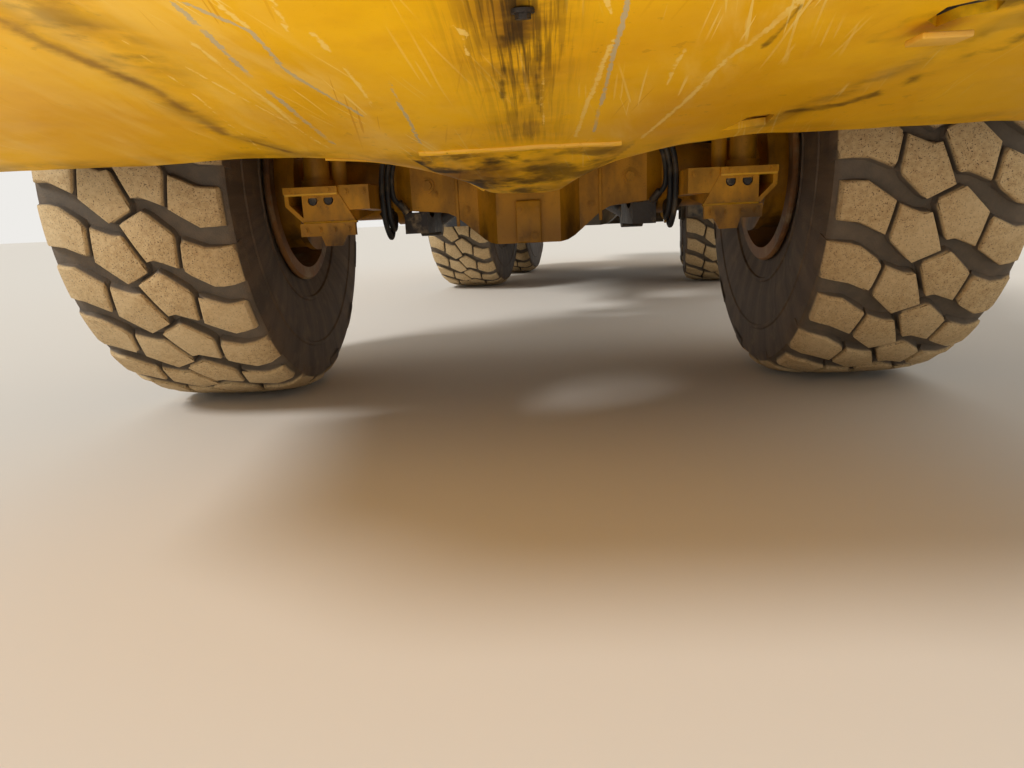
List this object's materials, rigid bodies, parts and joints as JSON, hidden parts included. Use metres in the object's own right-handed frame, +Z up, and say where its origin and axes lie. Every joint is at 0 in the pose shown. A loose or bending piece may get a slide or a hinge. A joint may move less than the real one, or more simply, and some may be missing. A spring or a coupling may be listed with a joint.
{
  "type": "articulated dump truck",
  "caption": "Six-wheel-drive articulated dump truck: tractor with cab and guard plate, turning hitch, bogie load unit and tipping body.",
  "frame": {"origin": "bottom centre of the bounding box, on the ground", "axes": "+X to the tractor's left, +Y to its rear, +Z up"},
  "size_m": [4.0396, 10.5702, 3.5497],
  "materials": {
    "yellow_paint": "worn golden-yellow paint",
    "dark_paint": "dusty dark grey paint",
    "cast_steel": "greasy dark steel",
    "bright_steel": "bright cylinder rods",
    "tyre_rubber": "dusty worn rubber",
    "rim_paint": "rusty yellow-brown rim",
    "clear_glass": "clear cab glass",
    "black_plastic": "matt black",
    "lamp_lens": "clear lamp lens",
    "red_lens": "red lamp lens"
  },
  "bodies": {
    "tractor": {"front_frame": "yellow_paint", "front_axle": "yellow_paint", "axle_brackets": "yellow_paint", "suspension_struts": "yellow_paint", "radius_arms": "cast_steel", "skid_guard": "yellow_paint", "bumper": "yellow_paint", "engine": "cast_steel", "radiator": "dark_paint", "transmission": "cast_steel", "mudguards": "black_plastic", "steps": "dark_paint", "handrails": "yellow_paint", "tanks": "yellow_paint", "cab": "yellow_paint", "cab_glass": "clear_glass", "cab_interior": "black_plastic", "mirrors": "black_plastic", "exhaust": "dark_paint", "headlamps": "lamp_lens"},
    "hood": {"hood": "yellow_paint", "hood_sides": "yellow_paint", "grille": "black_plastic"},
    "cab_door": {"cab_door": "yellow_paint", "door_glass": "clear_glass"},
    "hitch": {"hitch": "cast_steel"},
    "steer_barrel_left": {"steer_barrel_left": "yellow_paint"},
    "steer_barrel_right": {"steer_barrel_right": "yellow_paint"},
    "steer_rod_left": {"steer_rod_left": "bright_steel"},
    "steer_rod_right": {"steer_rod_right": "bright_steel"},
    "load_unit": {"rear_frame": "dark_paint", "rear_rails": "dark_paint", "cross_members": "dark_paint", "hoist_axle": "dark_paint", "rear_axles": "dark_paint", "bogie_beams": "dark_paint", "driveshafts": "cast_steel", "mud_flaps": "black_plastic", "tail_lamps": "red_lens"},
    "dump_body": {"dump_body": "yellow_paint", "body_mounts": "dark_paint"},
    "hoist_barrels": {"hoist_barrels": "yellow_paint"},
    "hoist_rods": {"hoist_rods": "bright_steel"},
    "wheel_front_left": {"rim_front_left": "rim_paint", "tyre_front_left": "tyre_rubber"},
    "wheel_front_right": {"rim_front_right": "rim_paint", "tyre_front_right": "tyre_rubber"},
    "wheel_middle_left": {"rim_middle_left": "rim_paint", "tyre_middle_left": "tyre_rubber"},
    "wheel_middle_right": {"rim_middle_right": "rim_paint", "tyre_middle_right": "tyre_rubber"},
    "wheel_rear_left": {"rim_rear_left": "rim_paint", "tyre_rear_left": "tyre_rubber"},
    "wheel_rear_right": {"rim_rear_right": "rim_paint", "tyre_rear_right": "tyre_rubber"}
  },
  "joints": [
    {"name": "steering", "type": "hinge", "parent": "tractor", "child": "hitch", "pos_m": [-0.51984, -1.64009, 1.15], "axis": [0, 0, 1], "range_deg": [-35.1, 54.9]},
    {"name": "roll", "type": "hinge", "parent": "hitch", "child": "load_unit", "pos_m": [-0.45107, -1.24605, 1.15], "axis": [0.1719, 0.9851, 0], "range_deg": [-15, 15]},
    {"name": "body_tip", "type": "hinge", "parent": "load_unit", "child": "dump_body", "pos_m": [0.39998, 3.63024, 1.42], "axis": [-0.9851, 0.1719, 0], "range_deg": [0, 70]},
    {"name": "hoist_lean", "type": "hinge", "parent": "load_unit", "child": "hoist_barrels", "pos_m": [0.23665, 2.69439, 0.62], "axis": [-0.9851, 0.1719, 0], "range_deg": [0, 64.84]},
    {"name": "hoist_stroke", "type": "slide", "parent": "hoist_barrels", "child": "hoist_rods", "axis": [-0.1526, -0.8742, 0.461], "range_m": [0, 1.41]},
    {"name": "steer_swing_left", "type": "hinge", "parent": "tractor", "child": "steer_barrel_left", "pos_m": [0.03016, -2.64009, 0.96], "axis": [0, 0, 1], "range_deg": [-6.68, 10.29]},
    {"name": "steer_stroke_left", "type": "slide", "parent": "steer_barrel_left", "child": "steer_rod_left", "axis": [-0.0691, 0.9976, 0], "range_m": [-0.2532, 0.3943]},
    {"name": "steer_swing_right", "type": "hinge", "parent": "tractor", "child": "steer_barrel_right", "pos_m": [-1.06984, -2.64009, 0.96], "axis": [0, 0, 1], "range_deg": [-5.39, 8.26]},
    {"name": "steer_stroke_right", "type": "slide", "parent": "steer_barrel_right", "child": "steer_rod_right", "axis": [0.1361, 0.9907, 0], "range_m": [-0.4229, 0.2714]},
    {"name": "hood_tilt", "type": "hinge", "parent": "tractor", "child": "hood", "pos_m": [-0.51984, -5.21509, 1.362], "axis": [1, 0, 0], "range_deg": [0, 60]},
    {"name": "door_swing", "type": "hinge", "parent": "tractor", "child": "cab_door", "pos_m": [0.28416, -2.24209, 2], "axis": [0, 0, 1], "range_deg": [0, 85]},
    {"name": "wheel_spin_front_left", "type": "hinge", "parent": "tractor", "child": "wheel_front_left", "pos_m": [0.68016, -2.80009, 0.8], "axis": [1, 0, 0], "continuous": true},
    {"name": "wheel_spin_front_right", "type": "hinge", "parent": "tractor", "child": "wheel_front_right", "pos_m": [-1.71984, -2.80009, 0.8], "axis": [1, 0, 0], "continuous": true},
    {"name": "wheel_spin_middle_left", "type": "hinge", "parent": "load_unit", "child": "wheel_middle_left", "pos_m": [1.21247, 1.30594, 0.8], "axis": [0.9851, -0.1719, 0], "continuous": true},
    {"name": "wheel_spin_middle_right", "type": "hinge", "parent": "load_unit", "child": "wheel_middle_right", "pos_m": [-1.1518, 1.71857, 0.8], "axis": [0.9851, -0.1719, 0], "continuous": true},
    {"name": "wheel_spin_rear_left", "type": "hinge", "parent": "load_unit", "child": "wheel_rear_left", "pos_m": [1.51334, 3.02988, 0.8], "axis": [0.9851, -0.1719, 0], "continuous": true},
    {"name": "wheel_spin_rear_right", "type": "hinge", "parent": "load_unit", "child": "wheel_rear_right", "pos_m": [-0.85092, 3.44251, 0.8], "axis": [0.9851, -0.1719, 0], "continuous": true}
  ],
  "couplings": [
    {"joint": "hoist_lean", "follows": "body_tip", "ratio": 0.91919},
    {"joint": "hoist_stroke", "follows": "body_tip", "m_per_rad": 1.1508},
    {"joint": "steer_swing_left", "follows": "steering", "ratio": 0.18189},
    {"joint": "steer_stroke_left", "follows": "steering", "m_per_rad": 0.40837},
    {"joint": "steer_swing_right", "follows": "steering", "ratio": 0.145},
    {"joint": "steer_stroke_right", "follows": "steering", "m_per_rad": -0.43819}
  ]
}
